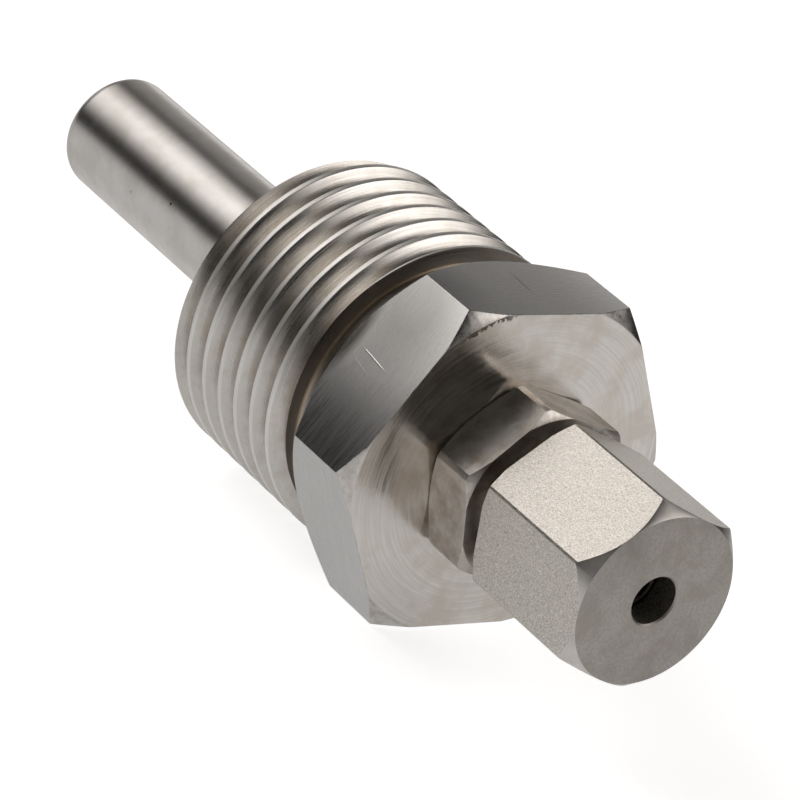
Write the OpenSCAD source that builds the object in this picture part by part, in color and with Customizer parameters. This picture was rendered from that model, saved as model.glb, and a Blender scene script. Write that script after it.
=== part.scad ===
// Screw-in thermowell with a compression gland for a small probe.
// Everything lies along X: the stem points to -X, the gland nut to +X, and x = 0 is the
// sealing shoulder, the back face of the big hexagon. All sizes are in millimetres.

/* [Process connection] */
// Major diameter of the process thread (half-inch parallel pipe thread)
thread_d = 20.955; // [17:0.001:26]
// Pitch of the process thread
thread_pitch = 1.814; // [1:0.001:2.3]
// Length of the threaded shank, from the sealing shoulder to its end
thread_l = 15; // [10:0.5:20]
// Width of the relief groove between the thread and the shoulder
relief_w = 1.8; // [1.2:0.1:4]
// Depth of the relief groove below the root of the thread
relief_depth = 0.1; // [0:0.05:0.6]
// Fillet in both corners of the relief groove
relief_fillet = 0.3; // [0.1:0.05:0.6]

/* [Hexagon] */
// Size of the hexagon across its flats
hex_af = 21; // [21:0.5:27]
// Thickness of the hexagon
hex_h = 6.9; // [6.5:0.1:12]
// Width of the chamfer on the hexagon's corners at the shoulder
hex_back_chamfer = 1.75; // [0.5:0.05:2]
// Angle of that chamfer, measured from the face
hex_back_deg = 45; // [15:1:50]
// Width of the chamfer on the hexagon's corners at the front
hex_front_chamfer = 1.1; // [0.5:0.1:2]
// Angle of that chamfer, measured from the face
hex_front_deg = 32; // [15:1:50]

/* [Stem] */
// Outside diameter of the stem
stem_d = 8; // [6:0.5:12]
// Insertion length, from the sealing shoulder to the tip
stem_l = 39.3; // [25:0.1:200]
// Rounding of the edge at the tip
tip_r = 0.9; // [0.3:0.1:2]
// Thickness of the metal left at the tip
tip_wall = 3; // [1.5:0.5:6]

/* [Probe] */
// Diameter of the probe that the gland grips
probe_d = 3; // [2:0.1:3.6]
// Clearance round the probe in the stem and in the gland, on the radius
well_gap = 0.1; // [0.05:0.01:0.2]
// Clearance round the probe in the nut, on the radius
nut_gap = 0.05; // [0.02:0.01:0.1]
// Clearance round the probe in the ferrule before it is pressed down, on the radius
ferrule_gap = 0.03; // [0.01:0.01:0.1]

/* [Gland body] */
// Major diameter of both gland threads
gland_d = 8; // [7.5:0.1:9]
// Pitch of both gland threads
gland_pitch = 1; // [0.5:0.25:1.25]
// Size of the gland's hexagon across its flats
gland_af = 11; // [10.5:0.5:14]
// Thickness of the gland's hexagon
gland_h = 3.8; // [3:0.1:6]
// Length of the thread that screws into the big hexagon
gland_tail_l = 5.5; // [4:0.1:6]
// Length of the thread that carries the nut
gland_stub_l = 6.8; // [6:0.1:10]
// Width of the thread's relief beside the gland's hexagon
gland_relief_w = 1; // [0.7:0.1:1.5]
// Half angle of the ferrule's seat
seat_deg = 12; // [10:1:15]
// Wall left round the mouth of the seat, inside the root of the thread
seat_wall = 0.9; // [0.6:0.05:1]
// Width of the chamfer on the gland's corners at the big hexagon
gland_back_chamfer = 0.85; // [0.3:0.05:1.2]
// Width of the chamfer on the gland's corners at the nut
gland_front_chamfer = 0.6; // [0.3:0.05:1.2]
// Angle the gland came to rest at when it was tightened
gland_turn = -16; // [-30:1:30]

/* [Nut] */
// Size of the nut across its flats
nut_af = 11; // [10.5:0.5:14]
// Length of the nut
nut_l = 10; // [9.4:0.1:14]
// Depth of the nut's thread, from its back face to the floor
nut_socket_l = 6.9; // [6:0.1:7.4]
// Width of the chamfer on the nut's corners at the gland
nut_back_chamfer = 0.55; // [0.3:0.05:1.2]
// Width of the cone on the nut's corners at its front face
nut_nose_w = 0.8; // [0.3:0.05:1.2]
// Angle of that cone, measured from the face
nut_nose_deg = 50; // [30:1:60]
// Angle the nut came to rest at when it was tightened
nut_turn = -21; // [-30:1:30]

/* [Ferrule] */
// How far the ferrule's nose reaches into its seat
ferrule_nose_l = 2.1; // [1:0.1:3]
// Length of the ferrule's plain collar, outside the seat
ferrule_collar_l = 1.5; // [1:0.1:3]
// Width of the flat ring at the ferrule's back
ferrule_lip = 0.25; // [0.1:0.05:0.5]

/* [Fits and edges] */
// Clearance in the gland's threads, on the radius
thread_gap = 0.05; // [0.02:0.01:0.1]
// Clearance where the ferrule meets its seat and the nut's cone, along the axis
cone_gap = 0.2; // [0.1:0.05:0.3]
// Clearance between the ferrule and the cone's wide end in the nut, on the radius
press_gap = 0.3; // [0.1:0.05:0.6]
// Clearance between the gland's lower end and the floor of its socket
socket_gap = 0.3; // [0.1:0.1:0.6]
// Width of the countersink at the mouth of each tapped hole
mouth_chamfer = 0.4; // [0.1:0.1:0.6]
// Width of the broken edge on the nut's bore
bore_chamfer = 0.1; // [0.05:0.05:0.3]
// Height that the turned bar takes off the corners of the gland's hexagon
gland_corner_cut = 0.12; // [0.02:0.01:0.3]
// Height that the turned bar takes off the corners of the nut
nut_corner_cut = 0.05; // [0.02:0.01:0.3]
// Angle of the small chamfers on the gland and the nut, measured from the face
small_chamfer_deg = 30; // [15:1:45]

/* [Hidden] */
$fn = 96;
eps = 0.01;
// Half the angle of the drill's point, measured from the floor of the hole
drill_deg = 31;
// Depths of a Whitworth pipe thread and of a metric thread, for a pitch of one
pipe_thread_depth = 0.64;
metric_thread_depth = 0.613;
thread_r = thread_d / 2;
thread_depth = pipe_thread_depth * thread_pitch;
thread_root_r = thread_r - thread_depth;
relief_r = thread_root_r - relief_depth;
stem_r = stem_d / 2;
bore_r = probe_d / 2 + well_gap;
nut_bore_r = probe_d / 2 + nut_gap;
ferrule_bore_r = probe_d / 2 + ferrule_gap;
gland_r = gland_d / 2;
gland_depth = metric_thread_depth * gland_pitch;
gland_root_r = gland_r - gland_depth;
socket_r = gland_r + thread_gap;
// The gland seats on the front of the big hexagon, and its tail stays clear of the floor
tail_end = hex_h - gland_tail_l;
socket_floor = tail_end - socket_gap;
gland_top = hex_h + gland_h;
stub_end = gland_top + gland_stub_l;
// Seat cone in the gland, and the ferrule's nose that lies on it
seat_r = gland_root_r - seat_wall;
seat_slope = tan(seat_deg);
seat_l = (seat_r - bore_r) / seat_slope;
ferrule_nose = stub_end - ferrule_nose_l;
ferrule_nose_r = seat_r - (ferrule_nose_l + cone_gap) * seat_slope;
ferrule_r = seat_r - cone_gap * seat_slope;
ferrule_shoulder = stub_end + ferrule_collar_l;
ferrule_back_r = ferrule_bore_r + ferrule_lip;
ferrule_back = ferrule_shoulder + ferrule_r - ferrule_back_r;
// The nut's 45 degree cone presses on the ferrule's shoulder, which sets the nut's place
press_r = ferrule_r + press_gap;
nut_floor = ferrule_shoulder + cone_gap - press_gap;
press_tip = nut_floor + press_r - nut_bore_r;
nut_back = nut_floor - nut_socket_l;
nut_front = nut_back + nut_l;

// Node to show

// A turned shape: a list of [x, radius] points from one end of the axis to the other
module turned(points) {
    rotate([0, 90, 0])
        rotate_extrude()
            polygon([
                [0, points[0][0]],
                for (p = points) [p[1], p[0]],
                [0, points[len(points) - 1][0]]
            ]);
}

// Hexagonal bar between x0 and x1, its flats up and down when turn is 0
module hexagon(af, x0, x1, turn) {
    translate([x0, 0, 0])
        rotate([0, 90, 0])
            rotate([0, 0, 30 + turn])
                cylinder(h = x1 - x0, d = af / cos(30), $fn = 6);
}

// Hexagon with its corners chamfered in the lathe. back and front are the widths of the
// two chamfers at the corners, and cut is what the bar's own diameter takes off them.
module turned_hexagon(af, x0, x1, turn, cut, back, back_deg, front, front_deg) {
    bar_r = af / 2 / cos(30) - cut;
    intersection() {
        hexagon(af, x0, x1, turn);
        turned([
            [x0, bar_r - back],
            [x0 + back * tan(back_deg), bar_r],
            [x1 - front * tan(front_deg), bar_r],
            [x1, bar_r - front]
        ]);
    }
}

// Rounded end of the stem: a ring of the edge radius round a plain core
module stem_tip() {
    translate([tip_r - stem_l, 0, 0])
        rotate([0, 90, 0])
            rotate_extrude()
                translate([stem_r - tip_r, 0])
                    circle(r = tip_r);
    turned([
        [-stem_l, stem_r - tip_r],
        [2 * tip_r - stem_l, stem_r - tip_r]
    ]);
}

// Stem, threaded shank and relief groove, as one turned profile
module shank() {
    turned([
        [tip_r - stem_l, stem_r],
        [-thread_l, stem_r],
        [-thread_l, thread_root_r],
        [thread_depth - thread_l, thread_r],
        [-relief_w, thread_r],
        [-relief_w, relief_r + relief_fillet],
        [relief_fillet - relief_w, relief_r],
        [-relief_fillet, relief_r],
        [0, relief_r + relief_fillet],
        [eps, relief_r + relief_fillet]
    ]);
}

// Well: turned from one hexagonal bar, drilled blind from the front and tapped for the gland
module thermowell_body() {
    color([0.66, 0.64, 0.61])
    difference() {
        union() {
            stem_tip();
            shank();
            turned_hexagon(hex_af, 0, hex_h, 0, 0, hex_back_chamfer, hex_back_deg,
                hex_front_chamfer, hex_front_deg);
        }
        // Blind bore for the probe, with the drill's point at the bottom
        turned([
            [tip_wall - stem_l, 0],
            [tip_wall - stem_l + bore_r * tan(drill_deg), bore_r],
            [socket_floor + eps, bore_r]
        ]);
        // Tapped socket for the gland, with a countersunk mouth
        turned([
            [socket_floor, socket_r],
            [hex_h - mouth_chamfer, socket_r],
            [hex_h + eps, socket_r + mouth_chamfer + eps]
        ]);
    }
}

// Gland: a hexagon with a thread on each side, drilled through, with the ferrule's seat
// at its outer end
module gland_body() {
    color([0.55, 0.53, 0.51])
    difference() {
        union() {
            turned([
                [tail_end, gland_root_r],
                [tail_end + gland_depth, gland_r],
                [hex_h - gland_relief_w, gland_r],
                [hex_h - gland_relief_w + gland_depth, gland_root_r],
                [gland_top + gland_relief_w - gland_depth, gland_root_r],
                [gland_top + gland_relief_w, gland_r],
                [stub_end - gland_depth, gland_r],
                [stub_end, gland_root_r]
            ]);
            turned_hexagon(gland_af, hex_h, gland_top, gland_turn, gland_corner_cut,
                gland_back_chamfer, small_chamfer_deg, gland_front_chamfer, small_chamfer_deg);
        }
        turned([
            [tail_end - eps, bore_r],
            [stub_end - seat_l, bore_r],
            [stub_end, seat_r],
            [stub_end + eps, seat_r]
        ]);
    }
}

// Ferrule: a turned ring, its nose in the gland's seat and its back under the nut's cone
module ferrule() {
    color([0.72, 0.70, 0.66])
    difference() {
        turned([
            [ferrule_nose, ferrule_nose_r],
            [stub_end, ferrule_r],
            [ferrule_shoulder, ferrule_r],
            [ferrule_back, ferrule_back_r]
        ]);
        turned([
            [ferrule_nose - eps, ferrule_bore_r],
            [ferrule_back + eps, ferrule_bore_r]
        ]);
    }
}

// Nut: long hexagon, its corners turned to a cone at the front face, tapped from behind,
// with the cone that presses the ferrule at the end of the tapped hole
module gland_nut() {
    color([0.75, 0.73, 0.70])
    difference() {
        turned_hexagon(nut_af, nut_back, nut_front, nut_turn, nut_corner_cut,
            nut_back_chamfer, small_chamfer_deg, nut_nose_w, nut_nose_deg);
        turned([
            [nut_back - eps, socket_r + mouth_chamfer + eps],
            [nut_back + mouth_chamfer, socket_r],
            [nut_floor, socket_r],
            [nut_floor, press_r],
            [press_tip, nut_bore_r],
            [nut_front - bore_chamfer, nut_bore_r],
            [nut_front + eps, nut_bore_r + bore_chamfer + eps]
        ]);
    }
}

thermowell_body();
gland_body();
ferrule();
gland_nut();
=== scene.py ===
import math

import bmesh
import bpy
from mathutils import Matrix, Vector


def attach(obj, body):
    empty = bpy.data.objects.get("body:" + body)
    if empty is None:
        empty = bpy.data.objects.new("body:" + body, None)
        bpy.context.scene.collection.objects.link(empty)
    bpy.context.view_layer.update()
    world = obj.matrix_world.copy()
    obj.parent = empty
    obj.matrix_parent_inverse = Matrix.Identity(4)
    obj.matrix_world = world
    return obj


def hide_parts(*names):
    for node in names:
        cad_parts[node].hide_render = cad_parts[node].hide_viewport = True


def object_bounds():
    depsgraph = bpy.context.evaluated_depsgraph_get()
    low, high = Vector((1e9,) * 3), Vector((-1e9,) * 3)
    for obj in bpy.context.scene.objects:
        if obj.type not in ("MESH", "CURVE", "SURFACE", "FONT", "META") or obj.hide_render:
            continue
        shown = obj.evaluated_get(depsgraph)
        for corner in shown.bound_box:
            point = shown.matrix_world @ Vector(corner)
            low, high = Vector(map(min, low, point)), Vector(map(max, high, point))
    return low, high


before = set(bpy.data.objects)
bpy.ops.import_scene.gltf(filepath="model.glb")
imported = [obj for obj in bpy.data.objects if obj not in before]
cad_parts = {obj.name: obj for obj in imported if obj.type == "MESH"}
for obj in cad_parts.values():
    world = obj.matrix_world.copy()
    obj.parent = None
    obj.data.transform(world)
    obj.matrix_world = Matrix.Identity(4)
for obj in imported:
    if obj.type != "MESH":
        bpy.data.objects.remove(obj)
cad_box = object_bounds()

# Viewpoint: a long lens about 280 mm away, looking back along the well from above its nut
# end, and rolled so that the axis runs down to the right.
camera_data = bpy.data.cameras.new("camera")
camera_data.lens = 210.4
camera_data.sensor_width = 36.0
camera_data.clip_start = 0.02
camera_data.clip_end = 20.0
camera = bpy.data.objects.new("camera", camera_data)
camera_place = Vector((0.192263, -0.172880, 0.110128))
camera_right = Vector((0.5430, 0.7935, 0.2747))
camera_up = Vector((-0.4776, 0.0228, 0.8783))
camera_back = Vector((0.6907, -0.6081, 0.3914))
camera.matrix_world = Matrix.Translation(camera_place) @ Matrix(
    (camera_right, camera_up, camera_back)
).transposed().to_4x4()
bpy.context.scene.collection.objects.link(camera)
bpy.context.scene.camera = camera
bpy.context.scene.view_settings.view_transform = "Standard"

# Studio: a dark tent with soft lamps round it, the strongest overhead to the left and on
# the far side to the right. Each has a small bright middle and fades out at its edge. The
# camera sees a white wall in place of the tent.
soft_lamps = [
    # direction it lies in, brightness
    ((-0.54, -0.42, 0.73), 1.67),
    ((0.66, 0.47, 0.59), 1.43),
    ((-0.35, -0.42, 0.83), 1.38),
    ((-0.66, 0.76, -0.01), 1.30),
    ((-0.72, -0.07, 0.69), 1.03),
    ((-0.58, -0.59, 0.56), 0.98),
    ((0.61, 0.75, 0.25), 0.96),
    ((0.80, 0.34, 0.49), 0.92),
    ((0.48, 0.70, 0.53), 0.92),
    ((-0.40, -0.63, 0.66), 0.75),
    ((-0.99, 0.07, 0.14), 0.59),
    ((0.66, 0.62, 0.42), 0.54),
    ((0.73, 0.20, 0.66), 0.45),
    ((-0.79, 0.49, 0.37), 0.43),
    ((-0.58, -0.19, 0.79), 0.39),
    ((0.69, -0.62, 0.37), 0.36),
    ((0.29, 0.72, 0.63), 0.33),
    ((-0.71, -0.33, 0.62), 0.20),
    ((-0.80, 0.59, 0.10), 0.15),
]
lamp_middle = math.radians(2)
lamp_edge = math.radians(18)
tent_colour = (1.0, 0.965, 0.93, 1.0)
tent_dark = 0.005


def add(tree, kind, feeds=(), **settings):
    """Adds a shader node, with its settings, and feeds its sockets a value or a link."""
    node = tree.nodes.new("ShaderNode" + kind)
    for name, value in settings.items():
        setattr(node, name, value)
    for socket, value in dict(feeds).items():
        if isinstance(value, bpy.types.NodeSocket):
            tree.links.new(value, node.inputs[socket])
        else:
            node.inputs[socket].default_value = value
    return node


def number(tree, operation, *feeds):
    return add(tree, "Math", enumerate(feeds), operation=operation).outputs[0]


def vector(tree, operation, *feeds):
    """A sum on places or directions. A length and a dot product come out as a number."""
    node = add(tree, "VectorMath", enumerate(feeds), operation=operation)
    return node.outputs["Value" if operation in ("LENGTH", "DOT_PRODUCT") else "Vector"]


def between(tree, value, low, high, to_low=0.0, to_high=1.0, curve="LINEAR"):
    """Carries value from low..high to to_low..to_high, held at both ends."""
    feeds = {
        "Value": value, "From Min": low, "From Max": high, "To Min": to_low, "To Max": to_high,
    }
    return add(tree, "MapRange", feeds, interpolation_type=curve).outputs["Result"]


world = bpy.data.worlds.new("studio")
bpy.context.scene.world = world
world.use_nodes = True
sky = world.node_tree
sky.nodes.clear()
sky_way = add(sky, "TexCoord").outputs["Generated"]
tent_light = tent_dark
for way, brightness in soft_lamps:
    towards = vector(sky, "DOT_PRODUCT", sky_way, Vector(way).normalized())
    lamp = between(
        sky, towards, math.cos(lamp_edge), math.cos(lamp_middle), 0.0, brightness, "SMOOTHSTEP"
    )
    tent_light = number(sky, "ADD", lamp, tent_light)
tent = add(sky, "Background", {"Color": tent_colour, "Strength": tent_light})
white_wall = add(sky, "Background", {"Strength": 1.0})
seen = add(sky, "LightPath").outputs["Is Camera Ray"]
either = add(sky, "MixShader", {0: seen, 1: tent.outputs[0], 2: white_wall.outputs[0]})
add(sky, "OutputWorld", {0: either.outputs[0]})

# Floor: a sheet of white card on a light table. The camera sees it white, with the object's
# soft shadow, and so does the metal, more faintly and fading out to the edge of the table.
card_white = (0.88, 0.88, 0.88, 1.0)
card_half_side = 0.3
card_below = 0.0002
glow_seen = 0.78
glow_mirrored = 0.36
glow_fades_from = 0.05
glow_gone_at = 0.22
card_paper = bpy.data.materials.new("white_card")
card_paper.use_nodes = True
paper = card_paper.node_tree
paper.nodes.clear()
matt = add(paper, "BsdfDiffuse", {"Color": card_white})
rays = add(paper, "LightPath").outputs
off_middle = vector(paper, "LENGTH", add(paper, "TexCoord").outputs["Object"])
mirrored = between(paper, off_middle, glow_fades_from, glow_gone_at, glow_mirrored, 0.0)
mirrored = number(paper, "MULTIPLY", rays["Is Glossy Ray"], mirrored)
glow = number(paper, "MULTIPLY_ADD", rays["Is Camera Ray"], glow_seen, mirrored)
white = add(paper, "Emission", {"Strength": glow})
card_sum = add(paper, "AddShader", {0: matt.outputs[0], 1: white.outputs[0]})
add(paper, "OutputMaterial", {0: card_sum.outputs[0]})
bm = bmesh.new()
bmesh.ops.create_grid(bm, x_segments=1, y_segments=1, size=card_half_side)
bmesh.ops.translate(bm, verts=bm.verts, vec=(0, 0, cad_box[0][2] - card_below))
card_mesh = bpy.data.meshes.new("white_card")
bm.to_mesh(card_mesh)
bm.free()
card = bpy.data.objects.new("white_card", card_mesh)
bpy.context.scene.collection.objects.link(card)
card_mesh.materials.append(card_paper)

# Well: turned from one length of 21 mm hexagonal stainless bar, with an 8 mm stem, a
# half-inch parallel pipe thread, 14 threads to the inch, and a relief groove under the
# hexagon. It is drilled blind for the probe and tapped in front for the gland.

# In millimetres. Places along the axis are from the shoulder that seals under the hexagon.
stem_tip = -39.3
stem_r = 4
tip_round = 0.9
thread_end = -15
thread_end_chamfer = 1.3
pipe_pitch = 1.814
pipe_crest_r = 10.4775
pipe_root_r = pipe_crest_r - 0.6403 * pipe_pitch
pipe_root_round = 0.23
pipe_crest_round = 0.08
pipe_crest_flat = 0.26
pipe_flank = 62.5
last_crest = -4.15
relief_r = 9.216
relief_round = 0.3
head_flats = 21
head_front = 6.9
head_corner_r = 12.144
shoulder_r = 10.374
face_r = 11.024
front_chamfer = math.radians(32)
broken_edge = 0.05
probe_bore_r = 1.6
tapped_r = 4.05


def as_piece(bm, name):
    mesh = bpy.data.meshes.new(name)
    bm.to_mesh(mesh)
    bm.free()
    piece = bpy.data.objects.new(name, mesh)
    bpy.context.scene.collection.objects.link(piece)
    return piece


def turn(name, outline, steps=192):
    """Turns an outline of (x, radius), closed on the axis, about X."""
    bm = bmesh.new()
    verts = [bm.verts.new((x, r, 0)) for x, r in outline]
    edges = [bm.edges.new(pair) for pair in zip(verts, verts[1:])]
    bmesh.ops.spin(
        bm, geom=verts + edges, cent=(0, 0, 0), axis=(1, 0, 0),
        angle=math.tau, steps=steps, use_merge=True,
    )
    bmesh.ops.remove_doubles(bm, verts=bm.verts, dist=1e-5)
    bmesh.ops.recalc_face_normals(bm, faces=bm.faces)
    return as_piece(bm, name)


def arc(x, r, radius, start, end, count):
    """Points on an arc about (x, r); 0 degrees points outwards and 90 along +X."""
    angles = [math.radians(start + (end - start) * i / count) for i in range(count + 1)]
    return [(x + radius * math.sin(a), r + radius * math.cos(a)) for a in angles]


def shifted(points, by):
    return [(x + by, r) for x, r in points]


def cut_thread(name, rib, pitch, first_crest, turns, steps=144):
    """A long right-hand threaded bar: rib is one pitch of its outline, root to root."""
    bm = bmesh.new()
    verts = [bm.verts.new((first_crest + x, r, 0)) for x, r in rib]
    edges = [bm.edges.new(pair) for pair in zip(verts, verts[1:])]
    bmesh.ops.spin(
        bm, geom=verts + edges, cent=(0, 0, 0), axis=(1, 0, 0),
        dvec=(pitch / steps, 0, 0), angle=math.tau, steps=steps,
    )
    one_turn = bm.verts[:] + bm.edges[:] + bm.faces[:]
    for count in range(1, turns):
        more = bmesh.ops.duplicate(bm, geom=one_turn)["geom"]
        more = [v for v in more if isinstance(v, bmesh.types.BMVert)]
        bmesh.ops.translate(bm, verts=more, vec=(pitch * count, 0, 0))
    bmesh.ops.remove_doubles(bm, verts=bm.verts, dist=1e-3)
    # Both ends run out to a point on the axis, well past where the bar is then cut off.
    ends = [e for e in bm.edges if e.is_boundary]
    middle = first_crest + pitch * turns / 2
    reach = (turns / 2 + 1.2) * pitch
    for side in (-1, 1):
        rim = [e for e in ends if (e.verts[0].co.x - middle) * side > 0]
        lid = bmesh.ops.extrude_edge_only(bm, edges=rim)["geom"]
        lid = [v for v in lid if isinstance(v, bmesh.types.BMVert)]
        bmesh.ops.pointmerge(bm, verts=lid, merge_co=(middle + side * reach, 0, 0))
    bmesh.ops.recalc_face_normals(bm, faces=bm.faces)
    return as_piece(bm, name)


def carve(piece, tool, operation):
    """Joins, cuts or keeps what is common, and uses the tool up."""
    knife = piece.modifiers.new("carve", "BOOLEAN")
    knife.operation = operation
    knife.solver = "EXACT"
    knife.object = tool
    shaped = bpy.data.meshes.new_from_object(
        piece.evaluated_get(bpy.context.evaluated_depsgraph_get())
    )
    piece.modifiers.remove(knife)
    old = piece.data
    piece.data = shaped
    bpy.data.meshes.remove(old)
    bpy.data.objects.remove(tool)
    return piece


def hexagon(name, across_flats, x0, x1, turned_by, outline, edge):
    """Hexagonal bar, turned to an outline, with its edges broken by the width of edge."""
    bm = bmesh.new()
    radius = across_flats / math.sqrt(3)
    bmesh.ops.create_cone(
        bm, cap_ends=True, segments=6, radius1=radius, radius2=radius, depth=x1 - x0,
        matrix=Matrix.Translation(((x0 + x1) / 2, 0, 0))
        @ Matrix.Rotation(math.radians(turned_by), 4, "X")
        @ Matrix.Rotation(math.radians(90), 4, "Y"),
    )
    bar = carve(as_piece(bm, name), turn(name + "_outline", outline), "INTERSECT")
    bm = bmesh.new()
    bm.from_mesh(bar.data)
    bmesh.ops.remove_doubles(bm, verts=bm.verts, dist=1e-4)
    sharp = [e for e in bm.edges if e.calc_face_angle(0) > math.radians(12)]
    bmesh.ops.bevel(
        bm, geom=sharp, offset=edge, offset_type="OFFSET", affect="EDGES", segments=2,
        profile=0.5, material=-1, clamp_overlap=True, loop_slide=True,
    )
    bm.to_mesh(bar.data)
    bm.free()
    return bar


pipe_root = arc(0, pipe_root_r + pipe_root_round, pipe_root_round, 180, 180 - pipe_flank, 4)
pipe_crest = arc(0, pipe_crest_r - pipe_crest_round, pipe_crest_round, 0, pipe_flank, 3)
pipe_rib = (
    shifted(pipe_root, -pipe_pitch / 2)
    + shifted([(-x, r) for x, r in reversed(pipe_crest)], -pipe_crest_flat / 2)
    + shifted(pipe_crest, pipe_crest_flat / 2)
    + shifted([(-x, r) for x, r in reversed(pipe_root)], pipe_pitch / 2)
)
well = cut_thread("well", pipe_rib, pipe_pitch, last_crest - 7 * pipe_pitch, 10)
shank_outline = [
    (thread_end, 0), (thread_end, 9.316), (thread_end + thread_end_chamfer, 10.616),
    (-1.79, 10.616), (-1.79, 0),
]
carve(well, turn("shank", shank_outline), "INTERSECT")
relief_foot = relief_r + relief_round
core_outline = (
    [(stem_tip, 0)]
    + arc(stem_tip + tip_round, stem_r - tip_round, tip_round, -90, 0, 10)
    + [(-14.5, stem_r), (-14.5, relief_r), (-1.9, relief_r), (-1.9, relief_foot)]
    + arc(-1.5, relief_foot, relief_round, -90, -180, 4)
    + arc(-relief_round, relief_foot, relief_round, 180, 90, 4)
    + [(0.4, relief_foot), (0.4, 0)]
)
carve(well, turn("core", core_outline), "UNION")
front_chamfer_start = head_front - (head_corner_r - face_r) * math.tan(front_chamfer)
head_outline = [
    (0, 0), (0, shoulder_r), (head_corner_r - shoulder_r, head_corner_r),
    (front_chamfer_start, head_corner_r), (head_front, face_r), (head_front, 0),
]
carve(well, hexagon("head", head_flats, 0, head_front, 0, head_outline, broken_edge), "UNION")
drill_outline = [
    (-36.3, 0), (-35.339, probe_bore_r), (1.1, probe_bore_r), (1.1, tapped_r),
    (6.5, tapped_r), (7.0, tapped_r + 0.5), (7.0, 0),
]
carve(well, turn("drill", drill_outline), "DIFFERENCE")


def steel(name, grooves=0.0):
    """Bare stainless steel; grooves is how far marks round the axis smear what it mirrors.

    Gives the material, its nodes, its shader and the place in millimetres.
    """
    metal = bpy.data.materials.new(name)
    metal.use_nodes = True
    tree = metal.node_tree
    shader = tree.nodes["Principled BSDF"]
    shader.inputs["Metallic"].default_value = 1.0
    if grooves:
        shader.inputs["Anisotropic"].default_value = grooves
        shader.inputs["Anisotropic Rotation"].default_value = 0.25
        round_x = add(tree, "Tangent", direction_type="RADIAL", axis="X")
        tree.links.new(round_x.outputs[0], shader.inputs["Tangent"])
    where = add(tree, "TexCoord").outputs["Object"]
    where = add(tree, "Mapping", {"Vector": where, "Scale": (1000, 1000, 1000)}).outputs[0]
    return metal, tree, shader, where


def coat(tree, shader, tone, dullness):
    """Gives the shader its colour, and its roughness as a pattern or as one number."""
    tree.links.new(tone, shader.inputs["Base Color"])
    if isinstance(dullness, bpy.types.NodeSocket):
        tree.links.new(dullness, shader.inputs["Roughness"])
    else:
        shader.inputs["Roughness"].default_value = dullness


def stretch(tree, where, scale, lean=(0, 0, 0)):
    """The place, leant by degrees and then drawn out: the smaller a scale, the longer."""
    lean = [math.radians(angle) for angle in lean]
    leant = add(tree, "Mapping", {"Vector": where, "Rotation": lean}, vector_type="POINT")
    return vector(tree, "MULTIPLY", leant.outputs[0], scale)


def x_of(tree, where):
    return add(tree, "SeparateXYZ", {0: where}).outputs[0]


def off_axis(tree, where):
    """The way straight out from the axis to the place, as long as it is far."""
    return vector(tree, "MULTIPLY", where, (0, 1, 1))


def round_the_axis(tree, where, along, outwards, around):
    """A place for turning marks, with so many to the millimetre along and out from X."""
    out = off_axis(tree, where)
    x = number(tree, "MULTIPLY", x_of(tree, where), along)
    x = number(tree, "MULTIPLY_ADD", vector(tree, "LENGTH", out), outwards, x)
    way = vector(tree, "MULTIPLY", vector(tree, "NORMALIZE", out), (0, around, around))
    return vector(tree, "ADD", way, add(tree, "CombineXYZ", {0: x}).outputs[0])


def noise(tree, where, scale=1.0, detail=4.0, rough=0.65):
    feeds = {"Vector": where, "Scale": scale, "Detail": detail, "Roughness": rough}
    return add(tree, "TexNoise", feeds).outputs[0]


def times(tree, one, other):
    return number(tree, "MULTIPLY", one, other)


def plus(tree, one, other):
    return number(tree, "ADD", one, other)


def blend(tree, amount, first, second):
    """Goes from the first colour to the second; either may come from another node."""
    first = (*first, 1.0) if isinstance(first, tuple) else first
    second = (*second, 1.0) if isinstance(second, tuple) else second
    mix = add(tree, "Mix", data_type="RGBA")
    for socket, value in ((0, amount), (6, first), (7, second)):
        if isinstance(value, bpy.types.NodeSocket):
            tree.links.new(value, mix.inputs[socket])
        else:
            mix.inputs[socket].default_value = value
    return mix.outputs[2]


def relief(tree, shader, *layers):
    """Bumps laid over each other: each is a height from 0 to 1, and its depth in mm."""
    normal = None
    for height, depth in layers:
        feeds = {"Height": height, "Strength": 1.0, "Distance": depth / 1000}
        if normal:
            feeds["Normal"] = normal
        normal = add(tree, "Bump", feeds).outputs[0]
    tree.links.new(normal, shader.inputs["Normal"])


def spot(tree, where, centre, half_size, lean=(0, 0, 0), full_within=0.5):
    """1 inside a small ellipsoid and 0 outside it, for one pit, ding, scratch, stain, patch of
    painted shade or painted glint.
    """
    off = vector(tree, "SUBTRACT", where, centre)
    off = stretch(tree, off, [1 / half for half in half_size], lean)
    return between(tree, vector(tree, "LENGTH", off), 1.0, full_within)


def pits(tree, where, apart, size, share):
    """Scattered round specks: 1 inside. Only a share of the cells has one."""
    cell = add(tree, "TexVoronoi", {"Vector": where, "Scale": 1 / apart})
    inside = between(tree, cell.outputs["Distance"], size / apart, 0.5 * size / apart)
    lot = x_of(tree, cell.outputs["Color"])
    return times(tree, inside, number(tree, "LESS_THAN", lot, share))


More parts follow.
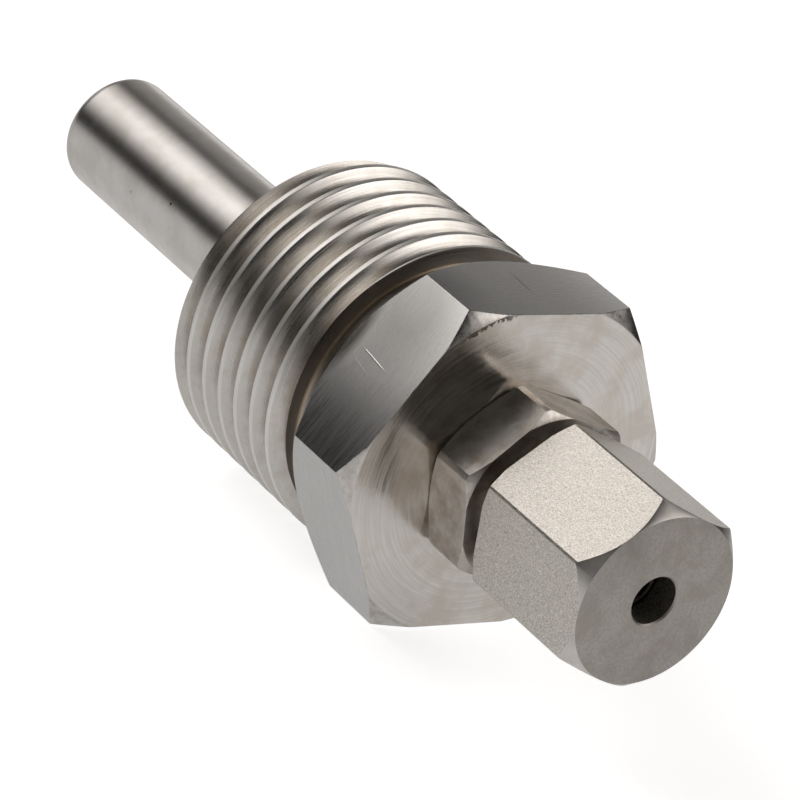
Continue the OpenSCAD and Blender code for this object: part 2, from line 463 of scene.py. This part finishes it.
def settle(piece, body, node, finishes, finish_of):
    """Scales a piece to metres, gives each face its finish, hangs it on its body and hides the
    part it takes the place of.
    """
    piece.data.materials.clear()
    for finish in finishes:
        piece.data.materials.append(finish)
    bm = bmesh.new()
    bm.from_mesh(piece.data)
    bmesh.ops.remove_doubles(bm, verts=bm.verts, dist=2e-4)
    for face in bm.faces:
        face.smooth = True
        face.material_index = finish_of(face.calc_center_median(), face.normal)
    bmesh.ops.scale(bm, verts=bm.verts, vec=(0.001, 0.001, 0.001))
    bm.to_mesh(piece.data)
    bm.free()
    piece.data.set_sharp_from_angle(angle=math.radians(24))
    shade = piece.modifiers.new("shade", "WEIGHTED_NORMAL")
    shade.keep_sharp = True
    shade.weight = 100
    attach(piece, body)
    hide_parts(node)


# The stem is turned, then polished to a satin. It has a few pin holes.
satin = (0.67, 0.65, 0.635)
clouded_satin = (0.60, 0.575, 0.55)
pin_hole = (0.03, 0.025, 0.02)
stem_steel, tree, shader, where = steel("stem_steel", grooves=0.5)
marks = round_the_axis(tree, where, 6, 0, 2.5)
cloud = noise(tree, where, 0.45, 3)
holes = plus(
    tree,
    pits(tree, where, 1.9, 0.09, 0.03),
    spot(tree, where, (-26.3, -3.86, 1.03), (0.11, 0.13, 0.13)),
)
faint_hole = spot(tree, where, (-30.5, -3.99, -0.2), (0.09, 0.12, 0.12))
holes = plus(tree, holes, times(tree, faint_hole, 0.5))
tone = blend(tree, between(tree, cloud, 0.42, 0.62), satin, clouded_satin)
tone = blend(tree, holes, tone, pin_hole)
coat(tree, shader, tone, between(tree, noise(tree, marks, 1.0, 3), 0.4, 0.6, 0.30, 0.34))
relief(tree, shader, (noise(tree, marks), 0.0003), (noise(tree, where, 2, 3), 0.0012))

# The thread is single-pointed: fine tool lines on its flanks, painted shade browning its
# roots among random brown stains, a painted highlight on its crests, and a few specks and
# dings. Painted shade darkens the relief groove and the steel close under the hexagon, and a
# painted golden glint lies on the fillet in the corner of the relief.
cut_steel = (0.65, 0.625, 0.595)
root_shade_brown = (0.55, 0.51, 0.465)
groove_shade_brown = (0.52, 0.475, 0.43)
painted_head_shade = (0.10, 0.085, 0.075)
painted_fillet_glint = (0.42, 0.33, 0.22)
dark_speck = (0.10, 0.085, 0.07)
painted_crest_glint = (0.86, 0.84, 0.81)
thread_steel, tree, shader, where = steel("thread_steel", grooves=0.4)
lines = noise(tree, round_the_axis(tree, where, 2, 9, 1.2), 1.0, 3, 0.7)
along = x_of(tree, where)
away = vector(tree, "LENGTH", off_axis(tree, where))
# Painted shade: the thread is browner towards its roots, mixed with random brown stains.
depth = between(tree, away, 10.35, 9.3)
root_shade_and_stain = plus(tree, depth, between(tree, noise(tree, where, 0.7, 3), 0.4, 0.65, -0.4, 0.4))
tone = blend(tree, root_shade_and_stain, cut_steel, root_shade_brown)
# Painted shade: the steel down in the relief groove is painted browner and darker.
groove_shade = between(tree, number(tree, "SUBTRACT", away, along), 12.15, 11.3)
tone = blend(tree, groove_shade, tone, groove_shade_brown)
# Painted shade: the steel close under the hexagon is painted near black.
head_shade = times(tree, between(tree, along, -1.5, -0.9), between(tree, away, 9.85, 9.65))
tone = blend(tree, head_shade, tone, painted_head_shade)
# Painted highlight: a golden glint painted on the fillet in the corner of the relief.
section = add(tree, "CombineXYZ", {0: along, 1: away}).outputs[0]
fillet_glint = spot(tree, section, (-1.8, 9.3, 0), (0.2, 0.14, 1))
tone = blend(tree, fillet_glint, tone, painted_fillet_glint)
specks = pits(tree, where, 1.5, 0.16, 0.06)
for place, half_size in (
    ((-10.5, -10.04, 1.05), (0.14, 0.25, 0.45)),
    ((-6.92, -10.0, 1.39), (0.10, 0.2, 0.16)),
    ((-9.19, 0.12, 10.1), (0.07, 0.12, 0.1)),
):
    specks = plus(tree, specks, spot(tree, where, place, half_size))
tone = blend(tree, specks, tone, dark_speck)
# Painted highlight: the crests are painted lighter, and made rougher as well.
crest_glint = between(tree, away, 10.43, 10.47)
tone = blend(tree, crest_glint, tone, painted_crest_glint)
duller = plus(tree, times(tree, groove_shade, 0.16), times(tree, crest_glint, 0.2))
coat(tree, shader, tone, plus(tree, between(tree, lines, 0.4, 0.6, 0.25, 0.33), duller))
relief(tree, shader, (lines, 0.005), (noise(tree, where, 1.2, 2), 0.004))

# The flats are ground across the bar on a belt by hand, which leaves them a little crowned
# towards the top corner. They are scuffed from handling: two bright scratches on one and a
# dark score on the next. Painted shade darkens them towards the top corner and along one back
# edge.
ground_dark = (0.54, 0.535, 0.53)
ground_light = (0.62, 0.615, 0.61)
bright_grain = (0.72, 0.70, 0.68)
bright_scratch = (0.85, 0.84, 0.82)
painted_corner_shade = (0.33, 0.325, 0.32)
dark_score = (0.2, 0.18, 0.17)
painted_edge_shade = (0.14, 0.13, 0.12)
flat_steel, tree, shader, where = steel("flat_steel", grooves=0.5)
brush = noise(tree, stretch(tree, where, (14, 0.3, 0.3)), 1.0, 3, 0.6)
grain = noise(tree, stretch(tree, where, (9, 3, 3)), 1.0, 3, 0.7)
crown = off_axis(tree, vector(tree, "SUBTRACT", where, (0, 1.6, -2.8)))
crown = times(tree, vector(tree, "DOT_PRODUCT", crown, crown), -0.0113)
tone = blend(tree, between(tree, brush, 0.38, 0.62), ground_dark, ground_light)
tone = blend(tree, between(tree, grain, 0.48, 0.65, 0, 0.3), tone, bright_grain)
scratch = spot(tree, where, (2.79, -8.93, 5.54), (1.45, 0.06, 0.06), (0, -5.2, 3.0))
faint = spot(tree, where, (2.34, -9.34, 4.82), (1.2, 0.05, 0.05), (0, -8.5, 4.9))
scratch = plus(tree, scratch, times(tree, faint, 0.25))
tone = blend(tree, scratch, tone, bright_scratch)
# Painted shade: the flats are painted darker towards their top corner.
corner_shade = spot(tree, where, (2.8, -6.9, 8.8), (4.6, 4.6, 4.6), full_within=0.348)
tone = blend(tree, times(tree, corner_shade, 0.75), tone, painted_corner_shade)
score = spot(tree, where, (2.85, 0.22, 10.5), (1.8, 0.05, 0.3), (0, 0, 4.8))
tone = blend(tree, score, tone, dark_score)
# Painted shade: the rolled back edge of one flat is painted dark.
back_edge_shade = spot(tree, where, (0.1, -8.7, 5.87), (1.09, 3.64, 3.64), full_within=0.375)
tone = blend(tree, back_edge_shade, tone, painted_edge_shade)
coat(tree, shader, tone, between(tree, brush, 0.38, 0.62, 0.27, 0.34))
relief(tree, shader, (crown, 1.0), (brush, 0.0011), (grain, 0.004), (scratch, 0.008))

# The front face is faced off in the lathe, which leaves rings in it. Its rim is torn where
# the chamfer meets it at one corner.
ring_dark = (0.67, 0.64, 0.605)
ring_light = (0.78, 0.75, 0.715)
brown_cloud = (0.61, 0.55, 0.49)
torn_edge = (0.14, 0.12, 0.10)
face_steel, tree, shader, where = steel("face_steel", grooves=0.4)
rings = noise(tree, round_the_axis(tree, where, 3, 6, 1.6), 1.0, 3, 0.7)
cloud = noise(tree, where, 0.35, 3)
tone = blend(tree, between(tree, rings, 0.4, 0.6), ring_dark, ring_light)
tone = blend(tree, between(tree, cloud, 0.46, 0.62, 0, 0.65), tone, brown_cloud)
away = vector(tree, "LENGTH", off_axis(tree, where))
fine = noise(tree, where, 3, 3)
ragged = plus(tree, away, between(tree, fine, 0.35, 0.65, -0.25, 0.25))
torn_corner = spot(tree, where, (6.9, -4.6, 9.6), (2, 2.6, 2))
torn = times(tree, between(tree, ragged, 10.80, 10.92), torn_corner)
tone = blend(tree, torn, tone, torn_edge)
coat(tree, shader, tone, between(tree, rings, 0.4, 0.6, 0.17, 0.26))
relief(tree, shader, (rings, 0.006), (fine, 0.004))

# The chamfers are cut with a coarse feed and show ragged rings.
chamfer_dark = (0.48, 0.45, 0.43)
chamfer_light = (0.68, 0.66, 0.64)
chamfer_steel, tree, shader, where = steel("chamfer_steel", grooves=0.4)
rings = noise(tree, round_the_axis(tree, where, 3, 3, 7), 1.0, 4, 0.7)
tone = blend(tree, between(tree, rings, 0.4, 0.6), chamfer_dark, chamfer_light)
coat(tree, shader, tone, between(tree, rings, 0.4, 0.6, 0.24, 0.34))
relief(tree, shader, (rings, 0.02))
well_steels = [stem_steel, thread_steel, flat_steel, face_steel, chamfer_steel]


def well_finish(place, way):
    """Which of the well's steels a face has. Edges and the tapped hole have the stem's."""
    if place.x < thread_end + 0.05:
        return 0
    if place.x < 0.02 and math.hypot(place.y, place.z) > 5:
        return 1
    if abs(way.x) < 0.2:
        round_x = math.degrees(math.atan2(way.z, way.y)) % 60
        return 2 if abs(round_x - 30) < 2 else 0
    return 3 if abs(way.x) > 0.97 else 4


settle(well, "well", "thermowell_body", well_steels, well_finish)

# Gland body: turned from 11 mm hexagonal bar, threaded at both ends and screwed down
# tight on the big hexagon. The ferrule's seat is in its outer end, inside the nut.
gland_flats = 11
gland_front = 10.7
gland_turned = -16
gland_crest_r = 4
gland_root_r = 3.387
gland_pitch = 1.0
stub_end = 17.5
seat_mouth_r = 2.487
gland_outline = [
    (head_front, 0), (head_front, 5.381), (7.39, 6.231),
    (10.354, 6.231), (gland_front, 5.631), (gland_front, 0),
]
gland = hexagon(
    "gland", gland_flats, head_front, gland_front, gland_turned, gland_outline, broken_edge
)
stub_rib = [
    (-0.5, gland_root_r), (-0.4375, gland_root_r), (-0.0625, gland_crest_r),
    (0.0625, gland_crest_r), (0.4375, gland_root_r), (0.5, gland_root_r),
]
stub = cut_thread("stub", stub_rib, gland_pitch, 8.9, 10)
stub_outline = [
    (11.0, 0), (11.0, gland_root_r), (11.7, 4.1), (16.8, 4.1), (stub_end, 3.4), (stub_end, 0),
]
carve(stub, turn("stub_outline", stub_outline), "INTERSECT")
neck_r = 3.41
neck_outline = [
    (1.4, 0), (1.4, gland_root_r), (2.013, gland_crest_r),
    (5.9, gland_crest_r), (6.49, neck_r), (16.7, neck_r), (16.7, 0),
]
carve(gland, turn("neck", neck_outline), "UNION")
carve(gland, stub, "UNION")
seat_outline = [
    (1.3, 0), (1.3, probe_bore_r), (13.327, probe_bore_r),
    (stub_end, seat_mouth_r), (17.6, seat_mouth_r), (17.6, 0),
]
carve(gland, turn("seat", seat_outline), "DIFFERENCE")

# Its flats are drawn bright, with faint stains and handling marks.
drawn_bright = (0.59, 0.56, 0.525)
stained = (0.41, 0.365, 0.32)
handling_mark = (0.85, 0.83, 0.8)
gland_steel, tree, shader, where = steel("gland_steel")
grain = noise(tree, where, 5, 4, 0.7)
cloud = noise(tree, where, 0.6, 4)
tone = blend(tree, between(tree, cloud, 0.42, 0.62), drawn_bright, stained)
tone = blend(tree, pits(tree, where, 0.9, 0.07, 0.1), tone, handling_mark)
coat(tree, shader, tone, between(tree, grain, 0.4, 0.6, 0.30, 0.40))
relief(tree, shader, (grain, 0.012), (cloud, 0.03))
settle(gland, "well", "gland_body", [gland_steel], lambda place, way: 0)

# Ferrule: a small ring turned from bright bar, between the gland's seat and the nut. It is
# loose until the nut presses it on to the probe.
ferrule_dark = (0.58, 0.56, 0.53)
ferrule_light = (0.68, 0.66, 0.63)
ferrule_steel, tree, shader, where = steel("ferrule_steel", grooves=0.5)
rings = noise(tree, round_the_axis(tree, where, 8, 8, 3))
tone = blend(tree, between(tree, rings, 0.4, 0.6), ferrule_dark, ferrule_light)
coat(tree, shader, tone, 0.24)
relief(tree, shader, (rings, 0.006))
ferrule_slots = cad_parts["ferrule"].data.materials
ferrule_slots.clear()
ferrule_slots.append(ferrule_steel)

# Gland nut: 11 mm hexagonal bar, milled and tumbled, with a turned cone on the corners of
# its face. It is tapped from behind and screws on the gland's stub.
nut_flats = 11
nut_back = 12.0
nut_front = 22.0
nut_turned = -21
nut_broken_edge = 0.04
nut_root_r = 4.06
nut_crest_r = 3.44
press_r = 2.744
nut_bore_r = 1.55
nut_outline = [
    (nut_back, 0), (nut_back, 5.751), (12.318, 6.301),
    (21.047, 6.301), (nut_front, 5.501), (nut_front, 0),
]
nut = hexagon(
    "nut", nut_flats, nut_back, nut_front, nut_turned, nut_outline, nut_broken_edge
)
tap_rib = [
    (-0.5, nut_crest_r), (-0.44, nut_crest_r), (-0.06, nut_root_r),
    (0.06, nut_root_r), (0.44, nut_crest_r), (0.5, nut_crest_r),
]
tap = cut_thread("tap", tap_rib, gland_pitch, 9.9, 10)
tap_outline = [(11.9, 0), (11.9, 4.2), (18.2, 4.2), (18.2, 0)]
carve(tap, turn("tap_outline", tap_outline), "INTERSECT")
carve(nut, tap, "DIFFERENCE")
socket_outline = [
    (11.9, 0), (11.9, 4.65), (13.07, 3.48), (17.9, 3.48), (17.9, 4.12), (18.9, 4.12),
    (18.9, press_r), (20.094, nut_bore_r), (21.9, nut_bore_r), (22.05, 1.7), (22.05, 0),
]
carve(nut, turn("socket", socket_outline), "DIFFERENCE")

# The tumbling leaves its flats grey and grainy.
grit_dark = (0.42, 0.395, 0.36)
grit_light = (0.79, 0.755, 0.71)
grit_pit = (0.25, 0.23, 0.21)
nut_steel, tree, shader, where = steel("nut_steel")
grit = noise(tree, where, 10.5, 3, 0.7)
coarse = noise(tree, where, 3.0, 3, 0.6)
tone = blend(tree, between(tree, grit, 0.38, 0.62), grit_dark, grit_light)
tone = blend(tree, pits(tree, where, 0.8, 0.08, 0.1), tone, grit_pit)
coat(tree, shader, tone, between(tree, grit, 0.4, 0.6, 0.34, 0.42))
relief(tree, shader, (coarse, 0.016), (grit, 0.016))

# Its face is faced off finely, is a little stained and has small dings.
nut_face_dark = (0.40, 0.375, 0.35)
nut_face_light = (0.51, 0.48, 0.45)
nut_face_stain = (0.36, 0.325, 0.30)
bright_ding = (0.9, 0.88, 0.85)
nut_face, tree, shader, where = steel("nut_face", grooves=0.3)
rings = noise(tree, round_the_axis(tree, where, 3, 5, 2), 1.0, 3, 0.6)
grit = noise(tree, where, 5, 3, 0.7)
cloud = noise(tree, where, 0.5, 3)
dings = pits(tree, where, 0.8, 0.1, 0.08)
tone = blend(tree, between(tree, grit, 0.4, 0.6), nut_face_dark, nut_face_light)
tone = blend(tree, between(tree, cloud, 0.42, 0.62, 0, 0.6), tone, nut_face_stain)
tone = blend(tree, dings, tone, bright_ding)
coat(tree, shader, tone, between(tree, grit, 0.4, 0.6, 0.42, 0.50))
relief(tree, shader, (rings, 0.005), (grit, 0.006), (dings, -0.02))

# The cone on its corners is turned brighter than the face.
nut_cone_dark = (0.54, 0.515, 0.49)
nut_cone_light = (0.66, 0.635, 0.61)
nut_cone, tree, shader, where = steel("nut_cone", grooves=0.3)
rings = noise(tree, round_the_axis(tree, where, 5, 5, 2), 1.0, 3, 0.6)
tone = blend(tree, between(tree, rings, 0.4, 0.6), nut_cone_dark, nut_cone_light)
coat(tree, shader, tone, 0.36)
relief(tree, shader, (rings, 0.006))


def nut_finish(place, way):
    """Which of the nut's steels a face has: its flats', its cone's, or its face's."""
    if abs(way.x) < 0.2:
        return 0
    return 2 if place.x > 20 and math.hypot(place.y, place.z) > 5.45 else 1


settle(nut, "nut", "gland_nut", [nut_steel, nut_face, nut_cone], nut_finish)
